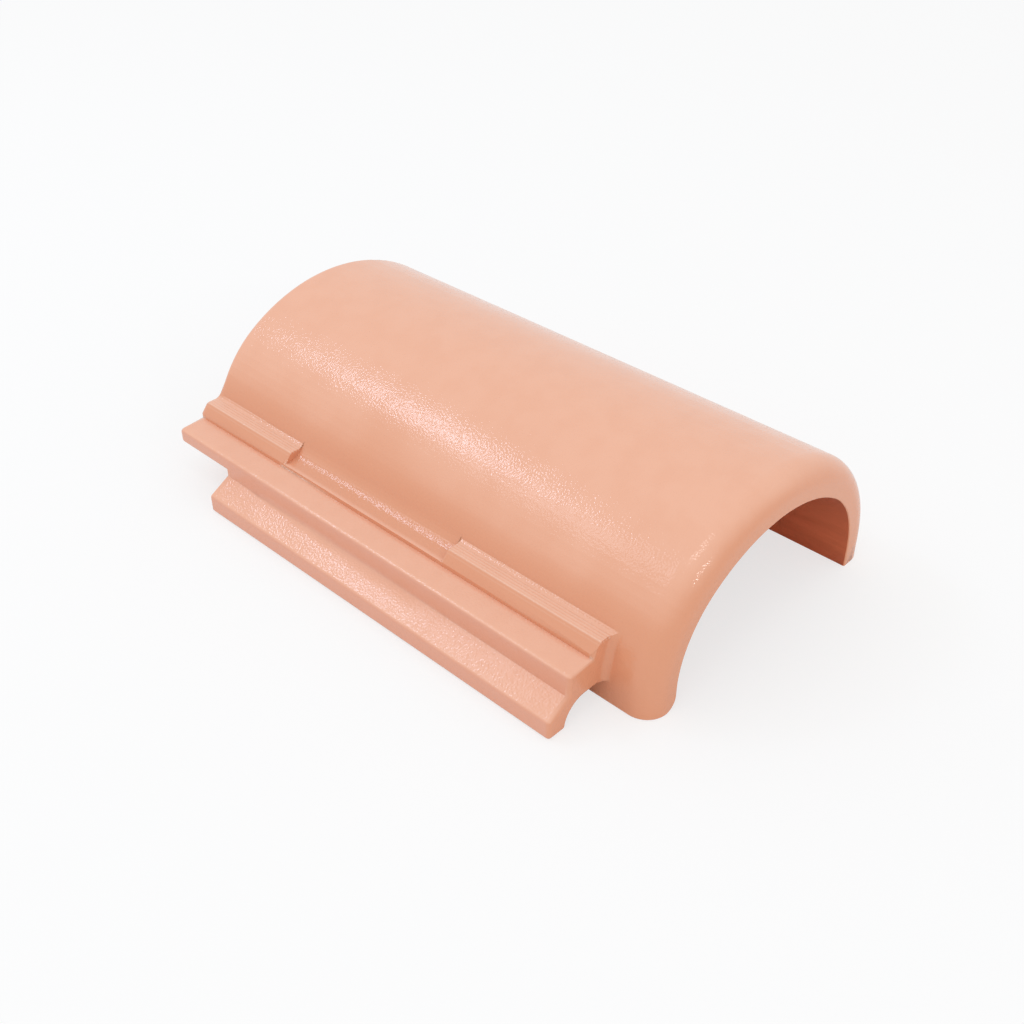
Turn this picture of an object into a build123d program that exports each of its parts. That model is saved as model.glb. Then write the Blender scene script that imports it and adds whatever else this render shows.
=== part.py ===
from build123d import *
from math import atan2, degrees
import os

# The tile's overall sizes
tile_length = 310.0
wall = 18.2
# The barrel's inside: a flattened arch of three arcs on short straight legs
inner_half_width = 68.5
inner_rise = 55.6
shoulder_radius = 50.0
leg_height = 11.4

# The interlocking flange on the tile's left, measured out from the barrel's middle
seat_reach = 98.6
shelf_width = 12.9
lip_overhang = 10.8
# The width of the lip's foot that stands on the floor
lip_foot = 11.1
# How far the rib's outer side leans in
rib_lean = 4.0
# Heights on the flange
lip_height = 10.0
lip_slope_rise = 7.1
channel_height = 12.0
tail_underside = 20.0
shelf_height = 28.6
seat_step = 2.8
rib_rise = 8.6
# Where the flange, its lip and its ribs start and end, measured back from the front end;
# the shelf and the rear rib run out flush with the barrel's back end
flange_start = 26.3
front_rib_end = 115.5
rear_rib_start = 232.0
lip_end = 268.0

# Rounding
front_round = 12.0
back_round = 4.0
root_round = 10.0
edge_round = 2.0
end_round = 1.5
# The left foot's full inner edge; the hollow's other edges are just broken
left_foot_round = 7.0
inner_round = 0.8

shelf_reach = seat_reach + shelf_width
flange_reach = shelf_reach + lip_overhang
seat_height = shelf_height + seat_step
rib_height = seat_height + rib_rise
outer_half_width = inner_half_width + wall
front_y = -tile_length / 2
barrel_x = (flange_reach - outer_half_width) / 2
wall_middle_x = barrel_x - inner_half_width - wall / 2
# The crown arc that meets both shoulder arcs smoothly
shoulder_x = inner_half_width - shoulder_radius
crown_radius = (shoulder_x**2 + inner_rise**2 - shoulder_radius**2) / (2 * (inner_rise - shoulder_radius))
crown_z = leg_height + inner_rise - crown_radius
shoulder_angle = degrees(atan2(leg_height - crown_z, shoulder_x))
# The span of the flange, clear of its roots in the barrel
flange_left = barrel_x - flange_reach
flange_right = barrel_x - outer_half_width
# Stations across the flange, from its lip inwards
channel_x = flange_left + lip_foot + channel_height
shelf_x = barrel_x - shelf_reach
seat_x = barrel_x - seat_reach
# How near an edge must be to a stated place to count as there
slack = 0.01


def section_plane(distance_back):
    """The upright plane across the tile at a distance back from the front end."""
    return Plane.XZ.offset(-(front_y + distance_back))


def arch(thickness, left_flare=0):
    """The barrel's inside at the tile's back end, thickened outwards and closed along the floor.

    A flare rounds the inside out to the left where it meets the floor.
    """
    half_width = inner_half_width + thickness
    crown_sweep = 180 - 2 * shoulder_angle
    with BuildSketch(section_plane(tile_length)) as outline:
        with BuildLine():
            Line((barrel_x + half_width, 0), (barrel_x + half_width, leg_height))
            CenterArc((barrel_x + shoulder_x, leg_height), shoulder_radius + thickness, 0, shoulder_angle)
            CenterArc((barrel_x, crown_z), crown_radius + thickness, shoulder_angle, crown_sweep)
            CenterArc((barrel_x - shoulder_x, leg_height), shoulder_radius + thickness,
                      180 - shoulder_angle, shoulder_angle)
            if left_flare:
                CenterArc((barrel_x - half_width - left_flare, left_flare), left_flare, 0, -90)
            Line((barrel_x - half_width, leg_height), (barrel_x - half_width, left_flare))
            Line((barrel_x - half_width - left_flare, 0), (barrel_x + half_width, 0))
        make_face()
    return outline.sketch


def across(part, distance_back):
    """The edges that lie in the section plane at a distance back from the front end."""
    place = front_y + distance_back
    return part.edges().filter_by(Plane.XZ).filter_by_position(Axis.Y, place - slack, place + slack)


def outer_corners(part, distance_back):
    """The convex edges across the flange at a distance back from the front end."""
    edges = across(part, distance_back).filter_by_position(Axis.X, flange_left, flange_right)
    return [edge for edge in edges if not edge.is_interior]


def lengthwise(part, height):
    """The straight edges that run along the tile at a height above the floor, from the left."""
    edges = part.edges().filter_by(Axis.Y)
    return edges.filter_by_position(Axis.Z, height - slack, height + slack).sort_by(Axis.X)


def top_of(edge):
    """The height of an edge's highest point."""
    return edge.bounding_box().max.Z


def round_off(part, edges, radius):
    """Round edges of the part under construction, leaving the patches of its surfaces as they are."""
    add(part.part.fillet(radius, list(edges)), clean=False, mode=Mode.REPLACE)


with BuildPart() as tile:
    # The barrel as a solid block, which is hollowed last
    extrude(arch(wall), amount=tile_length)

    # The shelf and its lip, with the rounded channel that hooks over the next tile
    with BuildSketch(section_plane(lip_end)):
        with BuildLine():
            Polyline((channel_x - channel_height, 0), (flange_left, 0), (flange_left, lip_height),
                     (shelf_x, lip_height + lip_slope_rise), (shelf_x, shelf_height),
                     (seat_x, shelf_height), (seat_x, seat_height),
                     (wall_middle_x, seat_height), (wall_middle_x, channel_height),
                     (channel_x, channel_height))
            CenterArc((channel_x, 0), channel_height, 90, 90)
        make_face()
    extrude(amount=lip_end - flange_start)

    # The shelf's tail, which runs on behind the lip over the lap
    with BuildSketch(section_plane(tile_length)):
        with BuildLine():
            Polyline((wall_middle_x, seat_height), (seat_x, seat_height), (seat_x, shelf_height),
                     (shelf_x, shelf_height), (shelf_x, tail_underside), (wall_middle_x, tail_underside),
                     close=True)
        make_face()
    extrude(amount=tile_length - lip_end)

    # The upper rib, broken by a gap where the seat runs bare
    for rib_start, rib_end in ((flange_start, front_rib_end), (rear_rib_start, tile_length)):
        with BuildSketch(section_plane(rib_end)):
            with BuildLine():
                Polyline((wall_middle_x, seat_height), (seat_x, seat_height),
                         (seat_x + rib_lean, rib_height), (wall_middle_x, rib_height), close=True)
            make_face()
        extrude(amount=rib_end - rib_start)

    # Broad hollows where the ribs, the seat and the flange's front end run into the barrel
    roots = lengthwise(tile, rib_height)[-2:] + lengthwise(tile, seat_height)[-1:]
    roots += across(tile, flange_start).filter_by(GeomType.CIRCLE).sort_by(Axis.X)[-1:]
    round_off(tile, roots, root_round)

    # The full front rim and the easier back rim, which both end square on the floor
    for distance_back, rim_round in ((0, front_round), (tile_length, back_round)):
        rim = [edge for edge in across(tile, distance_back) if top_of(edge) > slack]
        round_off(tile, rim, rim_round)

    # The long outer edges of the rib, the shelf, the tail and the lip
    long_edges = lengthwise(tile, lip_height) + lengthwise(tile, tail_underside)[:1]
    long_edges += lengthwise(tile, shelf_height)[:1] + lengthwise(tile, rib_height)[:2]
    long_edges += lengthwise(tile, 0)[:2]
    round_off(tile, long_edges, edge_round)

    # The ribs' facing ends, the lip's back end and the flange's front end up to the seat
    for distance_back in (front_rib_end, rear_rib_start):
        rib_corners = [edge for edge in across(tile, distance_back) if not edge.is_interior]
        round_off(tile, rib_corners, end_round)
    round_off(tile, outer_corners(tile, lip_end), end_round)
    front_corners = outer_corners(tile, flange_start)
    front_corners = [edge for edge in front_corners if top_of(edge) < seat_height + slack]
    round_off(tile, front_corners, edge_round)

    # The hollow through the barrel, with its edges just broken
    extrude(arch(0, left_foot_round), amount=tile_length, mode=Mode.SUBTRACT)
    round_off(tile, tile.edges(Select.NEW), inner_round)

tile.part.label = "hip_end_tile"
os.makedirs("parts", exist_ok=True)
export_step(tile.part, "parts/hip_end_tile.step")
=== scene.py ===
"""A glazed barrel tile with a side flange, lying on a pale studio floor."""
import logging
from dataclasses import dataclass
from enum import Enum
from math import atan2, cos, pi, radians, sin, sqrt
from typing import Any

import bmesh
import bpy
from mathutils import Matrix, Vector


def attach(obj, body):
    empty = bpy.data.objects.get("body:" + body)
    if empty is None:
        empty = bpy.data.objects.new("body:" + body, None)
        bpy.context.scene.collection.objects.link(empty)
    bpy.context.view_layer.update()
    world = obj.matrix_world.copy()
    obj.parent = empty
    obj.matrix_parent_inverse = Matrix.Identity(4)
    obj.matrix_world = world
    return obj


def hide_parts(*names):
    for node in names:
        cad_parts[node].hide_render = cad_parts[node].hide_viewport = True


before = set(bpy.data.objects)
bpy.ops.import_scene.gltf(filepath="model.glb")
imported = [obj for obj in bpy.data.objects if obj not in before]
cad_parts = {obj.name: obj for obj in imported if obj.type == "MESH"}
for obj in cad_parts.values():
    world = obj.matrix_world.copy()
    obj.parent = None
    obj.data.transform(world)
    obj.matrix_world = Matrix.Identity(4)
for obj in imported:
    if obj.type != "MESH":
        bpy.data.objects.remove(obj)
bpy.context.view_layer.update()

log = logging.getLogger("tile")
logging.basicConfig(level=logging.INFO, format="%(name)s: %(message)s")

MM = 0.001
Socket = bpy.types.NodeSocket
Tree = bpy.types.NodeTree


def srgb(code: str) -> tuple[float, float, float, float]:
    """Turn a colour written as sRGB hex digits into linear RGBA.

    Args:
        code: six hex digits, such as "ECAF9A".

    Returns:
        The linear colour with an alpha of one.
    """
    parts = [int(code[i:i + 2], 16) / 255 for i in (0, 2, 4)]
    linear = [p / 12.92 if p <= 0.04045 else ((p + 0.055) / 1.055) ** 2.4 for p in parts]
    return (*linear, 1.0)


def add(tree: Tree, kind: str, inputs: dict[Any, Any] | None = None, **settings: Any) -> Socket:
    """Add one node with its settings, values and links.

    Args:
        tree: the node tree that it goes into.
        kind: the node's type after "ShaderNode", such as "Math".
        inputs: a value or another node's output for each socket, by name or number.
        settings: the node's own properties, and "out" for the output that is wanted.

    Returns:
        The node's wanted output, the first one by default.
    """
    wanted = settings.pop("out", 0)
    node = tree.nodes.new("ShaderNode" + kind)
    for key, value in settings.items():
        setattr(node, key, value)
    for key, value in (inputs or {}).items():
        if isinstance(value, Socket):
            tree.links.new(value, node.inputs[key])
        else:
            node.inputs[key].default_value = value
    return node.outputs[wanted] if node.outputs else None


class Coat(Enum):
    """What covers a face of the tile."""

    GLAZE = 0.0
    BARE = 1.0


@dataclass(frozen=True)
class GlazedEarthenware:
    """Salmon glaze fired on red earthenware, which stays bare inside the barrel.

    The glaze is a smooth, slightly pebbled glass, so it gives a broken streak of light. The bare
    clay is matt and brick red.
    """

    # Peach and orange also carry painted light on upward faces and painted shade on steep sides and
    # behind the ribs
    peach: str = "F5BA9D"
    salmon: str = "E8A88F"
    orange: str = "E69F7B"
    # The painted highlight along the press lines' ridges
    ridge_highlight: str = "F6CDB6"
    clay: str = "DE774E"
    # The darker clay of the streaks, also used as painted shade up under the crown
    clay_streak_and_shade: str = "A44C2B"
    ior: float = 1.5
    # Broad drifts of the glaze and its faint clouds
    blotch: float = 60 * MM
    cloud: float = 14 * MM
    # The slow wave of the surface, as pressed clay keeps it
    wave: float = 22 * MM
    wave_depth: float = 0.3 * MM
    # Real orange peel is 0.3 to 0.6 mm across; drawn coarser so that it shows
    peel: float = 1.05 * MM
    peel_depth: float = 0.14 * MM
    # Fine lines left by the press tool along the ribs' tops
    line_pitch: float = 1.7 * MM
    line_depth: float = 0.09 * MM
    # Shinier and duller patches of the glaze
    gloss_patch: float = 12 * MM
    roughness: tuple[float, float] = (0.1, 0.15)
    # Real grit in the bare clay is about 0.5 mm, drawn coarser so that it shows
    grit: float = 1.2 * MM
    streak: float = 5 * MM
    bare_roughness: float = 0.85
    # Heights under the crown between which painted shade darkens the bare clay
    crown_shade: tuple[float, float] = (18 * MM, 62 * MM)
    # Places across the tile where the lip's salmon fades out, and along it where it fades in
    lip_fade: tuple[float, float] = (-88 * MM, -78 * MM)
    front_fade: tuple[float, float] = (-129 * MM, -126 * MM)
    # The painted shade behind the ribs, where the glaze also pools: its middle, across and up, and its
    # radius
    pool_shade_x: float = -68 * MM
    pool_shade_z: float = 36 * MM
    pool_shade_radius: float = 20 * MM
    # Where the seat's level top ends, upwards and outwards
    seat_top: tuple[float, float] = (33.5 * MM, 35 * MM)
    seat_side: tuple[float, float] = (-76 * MM, -74.5 * MM)
    # Where the ribs' level tops start, upwards and outwards
    rib_top: tuple[float, float] = (34.5 * MM, 35.2 * MM)
    rib_side: tuple[float, float] = (-65.5 * MM, -67 * MM)

    def build(self) -> bpy.types.Material:
        """Build the material.

        Returns:
            One material that shows glaze or bare clay by the mesh's "bare" attribute.
        """
        material = bpy.data.materials.new("glazed_earthenware")
        material.use_nodes = True
        tree = material.node_tree
        tree.nodes.clear()
        point = add(tree, "TexCoord", out="Object")
        bare = add(tree, "Attribute", attribute_name="bare", out="Fac")
        lines = self.press_lines(tree, point)
        glaze = self.glaze_color(tree, point, lines)
        color = add(tree, "Mix", {0: bare, 6: glaze, 7: self.clay_color(tree, point)},
                    data_type="RGBA", out=2)
        gloss = add(tree, "TexNoise", {"Vector": point, "Scale": 1 / self.gloss_patch, "Detail": 3.0})
        glossy = add(tree, "MapRange", {"Value": gloss, "From Min": 0.3, "From Max": 0.7,
                                        "To Min": self.roughness[0], "To Max": self.roughness[1]})
        rough = add(tree, "Mix", {0: bare, 2: glossy, 3: self.bare_roughness})
        shader = add(tree, "BsdfPrincipled",
                     {"Base Color": color, "Roughness": rough,
                      "Normal": self.relief(tree, point, bare, lines), "IOR": self.ior})
        add(tree, "OutputMaterial", {"Surface": shader})
        return material

    def press_lines(self, tree: Tree, point: Socket) -> Socket:
        """Draw the press lines on the ribs' level tops: clay carried in narrow straight ridges.

        Args:
            tree: the material's node tree.
            point: the point on the tile.

        Returns:
            One on a ridge, zero between the ridges and off the ribs' tops.
        """
        place = add(tree, "SeparateXYZ", {0: point}, out="X")
        height = add(tree, "SeparateXYZ", {0: point}, out="Z")
        on_top = add(tree, "MapRange", {"Value": height, "From Min": self.rib_top[0],
                                        "From Max": self.rib_top[1]})
        on_side = add(tree, "MapRange", {"Value": place, "From Min": self.rib_side[0],
                                         "From Max": self.rib_side[1]})
        on_rib = add(tree, "Math", {0: on_top, 1: on_side}, operation="MULTIPLY")
        ridges = add(tree, "TexWave", {"Vector": point, "Scale": pi / (10 * self.line_pitch),
                                       "Distortion": 0.15}, out="Fac", bands_direction="X")
        return add(tree, "Math", {0: on_rib, 1: ridges}, operation="MULTIPLY")

    def glaze_color(self, tree: Tree, point: Socket, lines: Socket) -> Socket:
        """Colour the glaze, with its painted light, shade and highlight.

        Args:
            tree: the material's node tree.
            point: the point on the tile.
            lines: how far the point lies on a press line.

        Returns:
            The glaze's colour.
        """
        place = add(tree, "SeparateXYZ", {0: point}, out="X")
        along = add(tree, "SeparateXYZ", {0: point}, out="Y")
        height = add(tree, "SeparateXYZ", {0: point}, out="Z")
        facing = add(tree, "SeparateXYZ", {0: add(tree, "TexCoord", out="Normal")}, out="Z")

        # Painted light and shade by facing: the glaze is drawn peach where the surface faces up and
        # orange on steep sides, varied by random drifts, and stays salmon on the lip
        blotches = add(tree, "TexNoise", {"Vector": point, "Scale": 1 / self.blotch, "Detail": 2.0})
        drift = add(tree, "Math", {0: blotches, 1: 0.55}, operation="MULTIPLY")
        tilt = add(tree, "Math", {0: facing, 1: drift}, operation="ADD")
        lit_from_above = add(tree, "MapRange", {"Value": tilt, "From Min": 0.5, "From Max": 1.2},
                    interpolation_type="SMOOTHSTEP")
        on_lip = add(tree, "MapRange", {"Value": place, "From Min": self.lip_fade[0],
                                        "From Max": self.lip_fade[1], "To Min": 0.75, "To Max": 0.0})
        off_front = add(tree, "MapRange", {"Value": along, "From Min": self.front_fade[0],
                                           "From Max": self.front_fade[1]})
        on_lip = add(tree, "Math", {0: on_lip, 1: off_front}, operation="MULTIPLY")
        side_shade = add(tree, "Mix", {0: on_lip, 6: srgb(self.orange), 7: srgb(self.salmon)},
                   data_type="RGBA", out=2)
        glaze = add(tree, "Mix", {0: lit_from_above, 6: side_shade, 7: srgb(self.peach)}, data_type="RGBA", out=2)
        clouds = add(tree, "TexNoise", {"Vector": point, "Scale": 1 / self.cloud, "Detail": 3.0})
        cloudy = add(tree, "MapRange", {"Value": clouds, "From Min": 0.35, "From Max": 0.7,
                                        "To Min": 0.0, "To Max": 0.13}, interpolation_type="SMOOTHSTEP")
        glaze = add(tree, "Mix", {0: cloudy, 6: glaze, 7: srgb(self.orange)}, data_type="RGBA", out=2)

        # Painted shade in the hollow behind the seat and the ribs, where the glaze also pools: more
        # orange there
        across = add(tree, "Math", {0: place, 1: -self.pool_shade_x}, operation="ADD")
        up = add(tree, "Math", {0: height, 1: -self.pool_shade_z}, operation="ADD")
        across = add(tree, "Math", {0: across, 1: across}, operation="MULTIPLY")
        up = add(tree, "Math", {0: up, 1: up}, operation="MULTIPLY")
        apart = add(tree, "Math", {0: across, 1: up}, operation="ADD")
        pool_shade = add(tree, "MapRange", {"Value": apart, "From Min": 0.0, "From Max": self.pool_shade_radius**2,
                                      "To Min": 0.85, "To Max": 0.0}, interpolation_type="SMOOTHSTEP")
        steep = add(tree, "MapRange", {"Value": facing, "From Min": 0.72, "From Max": 0.9,
                                       "To Min": 1.0, "To Max": 0.0})
        seat_low = add(tree, "MapRange", {"Value": height, "From Min": self.seat_top[0],
                                          "From Max": self.seat_top[1], "To Min": 1.0, "To Max": 0.0})
        seat_in = add(tree, "MapRange", {"Value": place, "From Min": self.seat_side[0],
                                         "From Max": self.seat_side[1]})
        seat = add(tree, "Math", {0: seat_low, 1: seat_in}, operation="MULTIPLY")
        holds = add(tree, "Math", {0: steep, 1: seat}, operation="MAXIMUM")
        pool_shade = add(tree, "Math", {0: pool_shade, 1: holds}, operation="MULTIPLY")
        glaze = add(tree, "Mix", {0: pool_shade, 6: glaze, 7: srgb(self.orange)}, data_type="RGBA", out=2)

        # Painted highlight: the glaze is drawn pale along the press lines' ridges
        pale = add(tree, "Math", {0: lines, 1: 0.42}, operation="MULTIPLY")
        return add(tree, "Mix", {0: pale, 6: glaze, 7: srgb(self.ridge_highlight)}, data_type="RGBA", out=2)

    def clay_color(self, tree: Tree, point: Socket) -> Socket:
        """Colour the bare clay: brick red, faintly streaked along the way it was pressed, with painted
        shade under the crown.

        Args:
            tree: the material's node tree.
            point: the point on the tile.

        Returns:
            The bare clay's colour.
        """
        height = add(tree, "SeparateXYZ", {0: point}, out="Z")
        drawn_out = add(tree, "Mapping", {"Vector": point, "Scale": (1.0, 0.12, 1.0)})
        streaks = add(tree, "TexNoise", {"Vector": drawn_out, "Scale": 1 / self.streak, "Detail": 4.0})
        streaky = add(tree, "MapRange", {"Value": streaks, "From Min": 0.35, "From Max": 0.68,
                                         "To Max": 0.3}, interpolation_type="SMOOTHSTEP")
        # Painted shade: it is darker up under the crown
        crown_shade_share = add(tree, "MapRange", {"Value": height, "From Min": self.crown_shade[0],
                                      "From Max": self.crown_shade[1], "To Max": 0.9})
        streak_and_shade = add(tree, "Math", {0: streaky, 1: crown_shade_share}, operation="MAXIMUM")
        return add(tree, "Mix", {0: streak_and_shade, 6: srgb(self.clay), 7: srgb(self.clay_streak_and_shade)},
                   data_type="RGBA", out=2)

    def relief(self, tree: Tree, point: Socket, bare: Socket, lines: Socket) -> Socket:
        """Give the surface its fine relief: orange peel or grit, press lines and a slow wave.

        Args:
            tree: the material's node tree.
            point: the point on the tile.
            bare: how far the clay is bare.
            lines: how far the point lies on a press line.

        Returns:
            The normal for the shader.
        """
        peel = add(tree, "TexNoise", {"Vector": point, "Scale": 1 / self.peel, "Detail": 0.6})
        grit = add(tree, "TexNoise", {"Vector": point, "Scale": 1 / self.grit, "Detail": 2.0})
        fine = add(tree, "Mix", {0: bare, 2: peel, 3: grit})
        peeled = add(tree, "Bump", {"Height": fine, "Strength": 1.0, "Distance": self.peel_depth})
        ridged = add(tree, "Bump", {"Height": lines, "Strength": 1.0, "Distance": self.line_depth,
                                    "Normal": peeled})
        waves = add(tree, "TexNoise", {"Vector": point, "Scale": 1 / self.wave, "Detail": 2.0})
        return add(tree, "Bump", {"Height": waves, "Strength": 1.0, "Distance": self.wave_depth,
                                  "Normal": ridged})


@dataclass(frozen=True)
class Outline:
    """The flange's upper outline in section, from its shelf's edge in to the barrel.

    Sizes are in millimetres, reach measured out from the barrel's middle and height from the floor.
    The shoulder is the arc of the barrel's outer flank.
    """

    corners: tuple[tuple[float, float], ...]
    root: float
    shoulder_x: float = 18.5
    shoulder_z: float = 11.4
    shoulder_radius: float = 68.2
    steps: int = 8
    top: float = 60.0

    def hub(self) -> Vector:
        """The middle of the shoulder's arc."""
        return Vector((-self.shoulder_x, self.shoulder_z))

    def root_centre(self) -> Vector:
        """Find the middle of the round root between the last corner's level and the barrel.

        Returns:
            The middle's reach and height.
        """
        height = self.corners[-1][1] + self.root
        rise = height - self.shoulder_z
        reach = sqrt((self.shoulder_radius + self.root) ** 2 - rise**2)
        return Vector((-self.shoulder_x - reach, height))

    def touch(self) -> Vector:
        """Where the root meets the barrel."""
        return self.hub() + (self.root_centre() - self.hub()).normalized() * self.shoulder_radius

    def points(self) -> list[Vector]:
        """Trace the outline as a run of points: corners, root, then the barrel's flank.

        Returns:
            The points, from the shelf's edge to the top of the flank.
        """
        run = [Vector(corner) for corner in self.corners]
        hub, centre, touch = self.hub(), self.root_centre(), self.touch()
        turn = atan2(touch.y - centre.y, touch.x - centre.x) + pi / 2
        for i in range(self.steps + 1):
            angle = -pi / 2 + turn * i / self.steps
            run.append(centre + Vector((cos(angle), sin(angle))) * self.root)
        low = atan2(touch.y - hub.y, touch.x - hub.x)
        high = pi - atan2(self.top - hub.y, sqrt(self.shoulder_radius**2 - (self.top - hub.y) ** 2))
        for i in range(1, self.steps + 1):
            angle = low + (high - low) * i / self.steps
            run.append(hub + Vector((cos(angle), sin(angle))) * self.shoulder_radius)
        return run


@dataclass(frozen=True)
class Refit:
    """Moves the fired body's upper flange from one outline to another."""

    old: Outline
    new: Outline
    # The share of a rounded end's depth that is kept on the small ribs
    rib_share: float = 0.35
    # Outside this reach, and above this height, the share grows to the whole over these spans
    shelf_reach: float = -98.0
    shelf_span: float = 8.0
    flank_height: float = 46.0
    flank_span: float = 12.0

    def move(self, spot: Vector) -> tuple[Vector, float]:
        """Carry a point in section along with the nearest stretch of the outline.

        Args:
            spot: reach and height.

        Returns:
            The moved point, and how far the point lay from the old outline.
        """
        before, after = self.old.points(), self.new.points()
        best, moved = 1e9, spot
        for i in range(len(before) - 1):
            run = before[i + 1] - before[i]
            share = max(0.0, min(1.0, (spot - before[i]).dot(run) / run.length_squared))
            on_old = before[i] + run * share
            gap = (spot - on_old).length
            if gap < best:
                best, moved = gap, after[i].lerp(after[i + 1], share) + (spot - on_old) * self.kept(spot)
        return moved, best

    def kept(self, spot: Vector) -> float:
        """Find the share of a rounded end's depth that is kept, least on the small ribs.

        Args:
            spot: reach and height.

        Returns:
            A share from rib_share to one.
        """
        shelf = (self.shelf_reach - spot.x) / self.shelf_span
        flank = (spot.y - self.flank_height) / self.flank_span
        return self.rib_share + (1 - self.rib_share) * max(0.0, min(1.0, max(shelf, flank)))


@dataclass
class BarrelTile:
    """The whole tile: barrel, shelf, lip and ribs in one fired piece.

    Sizes are in millimetres. "Back" is the distance back from the front end, "reach" the distance
    out from the barrel's middle. Bare small numbers in the tests below are clearances.
    """

    barrel_x: float = 17.8
    inner_half_width: float = 68.5
    inner_rise: float = 55.6
    shoulder_radius: float = 50.0
    leg_height: float = 11.4
    tile_length: float = 310.0
    flange_start: float = 26.3
    front_rib_end: float = 115.5
    rear_rib_start: float = 232.0
    # How far back the ribs' facing ends move, and how much the flange's front root shrinks
    rib_shift: float = 4.2
    front_root_share: float = 0.4
    front_root: float = 10.0
    front_root_top: float = 46.0
    # The stretch that is fitted: outside this reach, between these heights, behind this place
    fit_reach: float = -70.0
    fit_low: float = 11.9
    fit_high: float = 60.0
    fit_start: float = 12.0
    # Where the refit to the new outline starts, up and outwards
    outline_low: float = 16.0
    outline_reach: float = -77.0
    # How near the old outline a point is carried along, on the ribs and on the shelf's edge below
    rib_depth: float = 6.0
    edge_depth: float = 4.5
    edge_height: float = 24.3
    # How far the roundings of the ribs' ends and of the flange's front edge reach along the tile
    rib_end_depth: float = 1.7
    front_edge_depth: float = 2.1
    front_edge_height: float = 14.3
    # The height over which a rib's facing end moves
    rib_end_low: float = 31.2
    # Cuts across the long flat strips, and cuts along the barrel's left flank
    length_cuts: tuple[float, ...] = (13.5, 28.7, 31.0, 70.0, 113.0, 117.9, 121.5, 150.0, 190.0, 230.0,
                                      238.2, 241.0, 264.0, 270.0, 300.0, 305.6)
    flank_cuts: tuple[float, ...] = (40.0, 42.5, 45.0, 48.0, 52.0)
    # The rounding of the front rib's front edges
    rib_edge_round: float = 1.1
    smooth_angle: float = radians(32)
    rib: Refit = Refit(
        Outline(((-111.5, 16.5), (-111.5, 28.6), (-98.6, 28.6), (-98.6, 31.4), (-94.6, 40.0)), 10.0),
        Outline(((-110.0, 16.5), (-110.0, 28.6), (-94.8, 28.6), (-94.8, 31.0), (-90.1, 36.3)), 4.2))
    gap: Refit = Refit(
        Outline(((-111.5, 16.5), (-111.5, 28.6), (-98.6, 28.6), (-98.6, 31.4)), 10.0),
        Outline(((-110.0, 16.5), (-110.0, 28.6), (-94.8, 28.6), (-94.8, 31.0)), 13.0))

    def build(self) -> bpy.types.Object:
        """Copy the fired body's mesh, close its seams, fit the ribs and mark what is bare.

        Returns:
            The tile, riding on the root body.
        """
        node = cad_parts["hip_end_tile"]
        mesh = bpy.data.meshes.new("tile_body")
        bm = bmesh.new()
        bm.from_mesh(node.data)
        bmesh.ops.remove_doubles(bm, verts=bm.verts[:], dist=0.002 * MM)
        bmesh.ops.dissolve_degenerate(bm, edges=bm.edges[:], dist=0.001 * MM)
        self.mark_bare(bm)
        self.fit_ribs(bm)
        self.divide_length(bm)
        self.even_flank(bm)
        self.soften_front(bm)
        bm.to_mesh(mesh)
        bm.free()
        tile = bpy.data.objects.new("tile_body", mesh)
        bpy.context.scene.collection.objects.link(tile)
        for polygon in mesh.polygons:
            polygon.use_smooth = True
        mesh.set_sharp_from_angle(angle=self.smooth_angle)
        weighted = tile.modifiers.new("even_normals", "WEIGHTED_NORMAL")
        weighted.keep_sharp = True
        mesh.materials.append(GlazedEarthenware().build())
        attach(tile, "root")
        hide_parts("hip_end_tile")
        log.info("%s: %d faces", tile.name, len(mesh.polygons))
        return tile

    def to_tile(self, co: Vector) -> tuple[Vector, float]:
        """A point's reach and height, and its distance back from the front end, in millimetres."""
        return Vector((co.x / MM - self.barrel_x, co.z / MM)), co.y / MM + self.tile_length / 2

    def to_frame(self, spot: Vector, back: float) -> Vector:
        """The point in the shared frame, in metres, for a reach, a height and a distance back."""
        return Vector((spot.x + self.barrel_x, back - self.tile_length / 2, spot.y)) * MM

    def mark_bare(self, bm: bmesh.types.BMesh) -> None:
        """Mark the faces of the hollow and the feet as bare clay.

        Args:
            bm: the fired body's mesh.
        """
        bare = bm.faces.layers.float.new("bare")
        for face in bm.faces:
            inside = all(abs(self.arch_distance(vert.co)) < 0.1 * MM for vert in face.verts)
            under = all(vert.co.z < 0.02 * MM for vert in face.verts)
            face[bare] = (Coat.BARE if inside or under else Coat.GLAZE).value

    def fit_ribs(self, bm: bmesh.types.BMesh) -> None:
        """Move the upper flange's surface to the narrower ribs and seat of the real tile.

        Args:
            bm: the fired body's mesh.
        """
        ends = (self.front_rib_end, self.rear_rib_start)
        for vert in bm.verts:
            spot, back = self.to_tile(vert.co)
            if not (spot.x <= self.fit_reach and self.fit_low <= spot.y <= self.fit_high
                    and back >= self.fit_start):
                continue
            at_end = any(abs(back - end) < self.rib_end_depth for end in ends)
            in_gap = self.front_rib_end + 0.1 < back < self.rear_rib_start - 0.1
            past_start = back - self.flange_start
            in_front = back < self.flange_start + 0.02
            under_edge = spot.y < self.front_edge_height and -0.01 < past_start < self.front_edge_depth
            off_flank = self.flank_reach(spot.y) - spot.x
            on_root = spot.y < self.front_root_top and off_flank < self.front_root + 0.3
            moved = spot
            if (in_front or under_edge) and on_root:
                # The flange's front end runs into the barrel in a smaller round
                height = self.lower(spot.y)
                share = self.front_root_share
                if not in_front:
                    share += (1 - share) * past_start / self.front_edge_depth
                moved = Vector((self.flank_reach(height) - off_flank * share, height))
            elif spot.y > self.outline_low:
                moved = self.fit_outline(spot, at_end, in_gap)
            if at_end and spot.y > self.rib_end_low:
                back += self.rib_shift
            elif in_front and past_start > -self.front_root - 0.1 and spot.y < self.front_root_top:
                back = self.flange_start + past_start * self.front_root_share
            vert.co = self.to_frame(moved, back)

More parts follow.
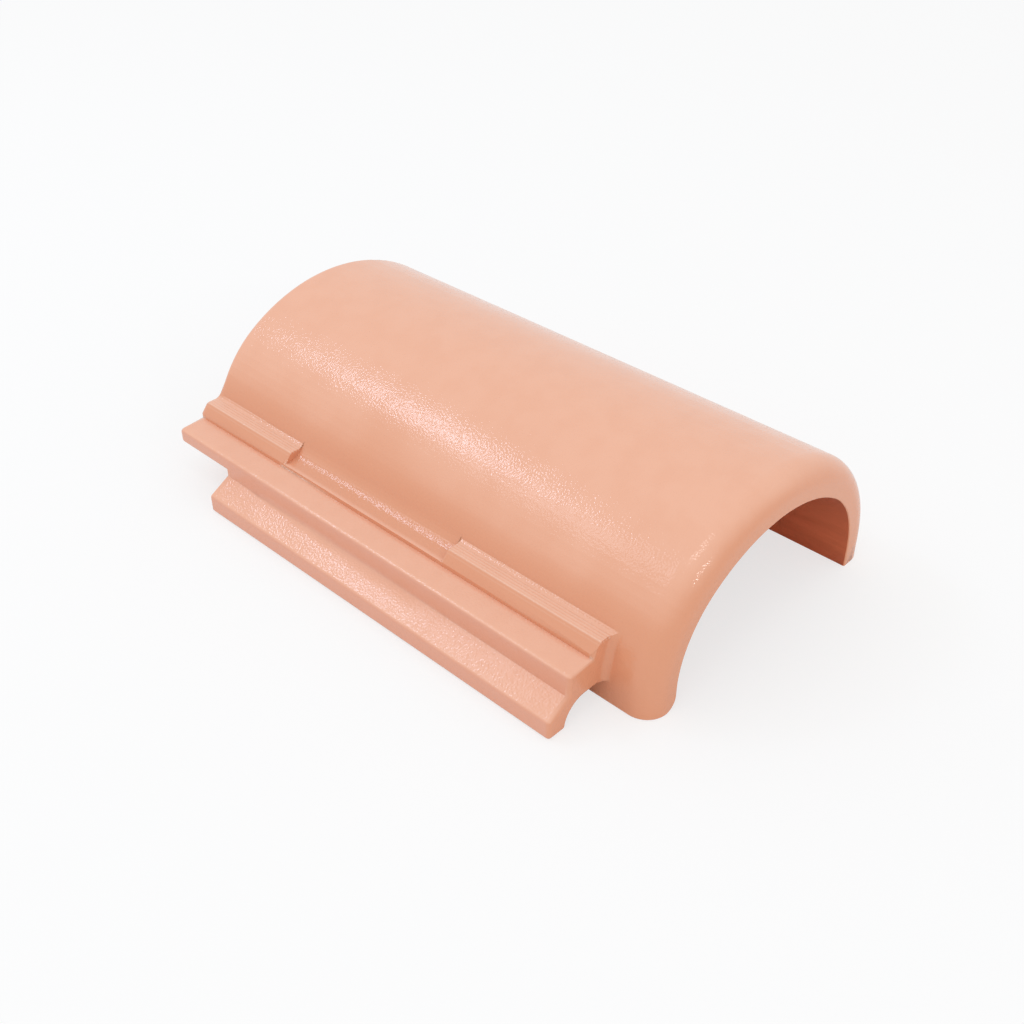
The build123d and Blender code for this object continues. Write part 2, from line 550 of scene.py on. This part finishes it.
    def fit_outline(self, spot: Vector, at_end: bool, in_gap: bool) -> Vector:
        """Carry a point of the upper flange to the new outline of the rib or of the gap.

        Args:
            spot: reach and height.
            at_end: whether it lies at a rib's facing end.
            in_gap: whether it lies in the gap between the ribs.

        Returns:
            Its new reach and height.
        """
        rib_place, rib_gap = self.rib.move(spot)
        gap_place, gap_gap = self.gap.move(spot)
        on_gap = in_gap or (at_end and gap_gap < 0.03)
        if on_gap and at_end and not in_gap and spot.y > self.gap.old.touch().y:
            height = self.squeeze(spot.y)
            return Vector((self.flank_reach(height), height))
        depth = self.rib_depth if spot.y > self.edge_height else self.edge_depth
        if min(rib_gap, gap_gap) < depth and spot.x < self.outline_reach:
            return gap_place if on_gap else rib_place
        return spot

    def divide_length(self, bm: bmesh.types.BMesh) -> None:
        """Divide the long flat strips just inside their ends, so that shading stays true along them.

        Args:
            bm: the fitted mesh.
        """
        for back in self.length_cuts:
            bmesh.ops.bisect_plane(bm, geom=[*bm.verts, *bm.edges, *bm.faces], dist=1e-7,
                                   plane_co=(0, (back - self.tile_length / 2) * MM, 0),
                                   plane_no=(0, 1, 0))

    def lower(self, height: float) -> float:
        """Find where a height on the flange's front root comes to once the rib is lower.

        Args:
            height: the height before.

        Returns:
            The height after.
        """
        old, new = self.rib.old, self.rib.new
        marks = [(0.0, 0.0)]
        marks += [(old.corners[i][1], new.corners[i][1]) for i in (1, 3, 4)]
        marks += [(old.touch().y, new.touch().y), (self.fit_high, self.fit_high)]
        for (low, low_to), (high, high_to) in zip(marks, marks[1:]):
            if height <= high:
                return low_to + (high_to - low_to) * (height - low) / (high - low)
        return height

    def squeeze(self, height: float) -> float:
        """Find where a point of the barrel's flank beside a rib's facing end comes to.

        Args:
            height: the height before.

        Returns:
            The height after.
        """
        low, high = self.gap.old.touch().y, self.rib.old.touch().y
        low_to, high_to = self.gap.new.touch().y, self.rib.new.touch().y
        if height > high:
            return high_to + (self.fit_high - high_to) * (height - high) / (self.fit_high - high)
        return low_to + (high_to - low_to) * (height - low) / (high - low)

    def flank_reach(self, height: float) -> float:
        """Find the reach of the barrel's left outer flank.

        Args:
            height: the height on the flank.

        Returns:
            The reach there.
        """
        arc = self.rib.old
        if height <= arc.shoulder_z:
            return -arc.shoulder_x - arc.shoulder_radius
        return -arc.shoulder_x - sqrt(arc.shoulder_radius**2 - (height - arc.shoulder_z) ** 2)

    def even_flank(self, bm: bmesh.types.BMesh) -> None:
        """Divide the barrel's left flank where it was stretched, and lay it on its true arc.

        Args:
            bm: the fitted mesh.
        """
        for height in self.flank_cuts:
            faces = [face for face in bm.faces if self.on_flank(face)]
            edges = {edge for face in faces for edge in face.edges}
            verts = {vert for face in faces for vert in face.verts}
            bmesh.ops.bisect_plane(bm, geom=[*faces, *edges, *verts], dist=1e-7,
                                   plane_co=(0, 0, height * MM), plane_no=(0, 0, 1))
        hub, radius = self.rib.old.hub(), self.rib.old.shoulder_radius
        for vert in bm.verts:
            spot, back = self.to_tile(vert.co)
            if not (37.5 < spot.y < self.fit_high and 13 < back < 305 and spot.x < -60):
                continue
            if abs((spot - hub).length - radius) < 0.5:
                vert.co = self.to_frame(hub + (spot - hub).normalized() * radius, back)
        bmesh.ops.triangulate(bm, faces=[face for face in bm.faces if len(face.verts) > 4])

    def soften_front(self, bm: bmesh.types.BMesh) -> None:
        """Round the front rib's own front edges, which the fired body leaves crisp.

        Args:
            bm: the fitted mesh.
        """
        edges = []
        for edge in bm.edges:
            places = [self.to_tile(vert.co) for vert in edge.verts]
            if (all(abs(back - self.flange_start) < 0.05 and 30.9 < spot.y < 36.6 and spot.x < -84.6
                    for spot, back in places) and edge.calc_face_angle(0) > radians(50)):
                edges.append(edge)
        bmesh.ops.bevel(bm, geom=edges, offset=self.rib_edge_round * MM, offset_type="OFFSET",
                        affect="EDGES", segments=3, profile=0.5, clamp_overlap=True, material=-1)
        log.info("front rib: %d edges rounded", len(edges))

    def on_flank(self, face: bmesh.types.BMFace) -> bool:
        """Tell whether a face lies on the barrel's left outer flank above the roots.

        Args:
            face: a face of the mesh.

        Returns:
            Whether it does.
        """
        spot, back = self.to_tile(face.calc_center_median())
        away = (spot - self.rib.old.hub()).length - self.rib.old.shoulder_radius
        return spot.x < -50 and spot.y > 36 and 10 < back < 308 and -1.5 < away < 0.3

    def arch_distance(self, co: Vector) -> float:
        """Find how far outside the hollow's arch a point lies.

        Args:
            co: the point in the shared frame.

        Returns:
            The distance in metres, negative inside the hollow.
        """
        across, up = abs(co.x / MM - self.barrel_x), co.z / MM
        shoulder_x = self.inner_half_width - self.shoulder_radius
        rise_gap = 2 * (self.inner_rise - self.shoulder_radius)
        crown_radius = (shoulder_x**2 + self.inner_rise**2 - self.shoulder_radius**2) / rise_gap
        crown_z = self.leg_height + self.inner_rise - crown_radius
        if up <= self.leg_height:
            return (across - self.inner_half_width) * MM
        slope = (self.leg_height - crown_z) / shoulder_x
        if up - crown_z > slope * across:
            return (Vector((across, up - crown_z)).length - crown_radius) * MM
        return (Vector((across - shoulder_x, up - self.leg_height)).length - self.shoulder_radius) * MM


@dataclass
class Studio:
    """The pale floor, the white surround, the lamps and the camera.

    Sizes and places are in metres, angles in degrees.
    """

    target: Vector
    distance: float = 1.6
    floor_size: float = 12.0
    floor_white: str = "FAFAFA"
    # The share of plain white in the floor as the camera sees it
    floor_glow: float = 0.68
    fill: float = 0.84
    lens_mm: float = 44.90
    sensor_mm: float = 36.0
    camera_place: tuple[float, float, float] = (-0.3908, -0.3805, 0.4003)
    camera_tilt: float = 53.799
    camera_turn: float = -46.323

    def build(self) -> None:
        """Build everything round the tile."""
        self.floor()
        self.world()
        self.softbox("key", -23.5, 47, (0.32, 0.25), 1.6, "D0E4FF")
        self.softbox("key_wide", -42, 48, (0.7, 0.34), 1.2, "E4EFFF")
        self.softbox("overhead", -125, 73, (0.5, 0.12), 1.2, "FFFFFF")
        self.softbox("front_glint", -172, 29, (0.12, 0.08), 0.9, "FFFFFF")
        self.camera()
        log.info("studio: floor, surround, 4 lamps and camera")

    def floor(self) -> None:
        """Lay a wide pale floor at the tile's feet."""
        bpy.ops.mesh.primitive_plane_add(size=self.floor_size, location=(0, 0, 0))
        floor = bpy.context.object
        floor.name = "studio_floor"
        material = bpy.data.materials.new("floor_white")
        material.use_nodes = True
        tree = material.node_tree
        tree.nodes.clear()
        cloth = add(tree, "BsdfDiffuse", {"Color": srgb(self.floor_white)})
        glow = add(tree, "Emission", {"Color": (1, 1, 1, 1), "Strength": 1.0})
        seen = add(tree, "LightPath", out="Is Camera Ray")
        share = add(tree, "Math", {0: seen, 1: self.floor_glow}, operation="MULTIPLY")
        mixed = add(tree, "MixShader", {0: share, 1: cloth, 2: glow})
        add(tree, "OutputMaterial", {"Surface": mixed})
        floor.data.materials.append(material)

    def world(self) -> None:
        """Put white behind the tile, and an even soft light all round it."""
        world = bpy.data.worlds.new("surround")
        bpy.context.scene.world = world
        world.use_nodes = True
        tree = world.node_tree
        tree.nodes.clear()
        fill = add(tree, "Background", {"Color": (1, 1, 1, 1), "Strength": self.fill})
        white = add(tree, "Background", {"Color": (1, 1, 1, 1), "Strength": 1.0})
        seen = add(tree, "LightPath", out="Is Camera Ray")
        mixed = add(tree, "MixShader", {0: seen, 1: fill, 2: white})
        add(tree, "OutputWorld", {"Surface": mixed})

    def softbox(self, name: str, azimuth: float, elevation: float, size: tuple[float, float],
                power: float, tint: str) -> None:
        """Place one soft lamp, aimed at the tile.

        Args:
            name: the lamp's name.
            azimuth: where it stands, in degrees from +Y, negative towards -X.
            elevation: how high it stands, in degrees.
            size: its width and height in metres.
            power: its power in watts.
            tint: its colour as sRGB hex digits.
        """
        a, e = radians(azimuth), radians(elevation)
        away = Vector((sin(a) * cos(e), cos(a) * cos(e), sin(e)))
        data = bpy.data.lights.new(name, "AREA")
        data.shape = "RECTANGLE"
        data.size, data.size_y = size
        data.energy = power
        data.color = srgb(tint)[:3]
        lamp = bpy.data.objects.new(name, data)
        bpy.context.scene.collection.objects.link(lamp)
        lamp.location = self.target + away * self.distance
        lamp.rotation_euler = away.to_track_quat("Z", "Y").to_euler()

    def camera(self) -> None:
        """Set the camera as the photograph was taken."""
        data = bpy.data.cameras.new("camera")
        data.lens, data.sensor_width = self.lens_mm, self.sensor_mm
        data.clip_start = 0.01
        cam = bpy.data.objects.new("camera", data)
        cam.location = self.camera_place
        cam.rotation_euler = (radians(self.camera_tilt), 0, radians(self.camera_turn))
        bpy.context.scene.collection.objects.link(cam)
        bpy.context.scene.camera = cam


def main() -> None:
    """Build the tile, then the studio round it."""
    bpy.context.scene.view_settings.view_transform = "Standard"
    BarrelTile().build()
    Studio(target=Vector((0, 0, 40 * MM))).build()
    bpy.context.view_layer.update()


if __name__ == "__main__":
    main()
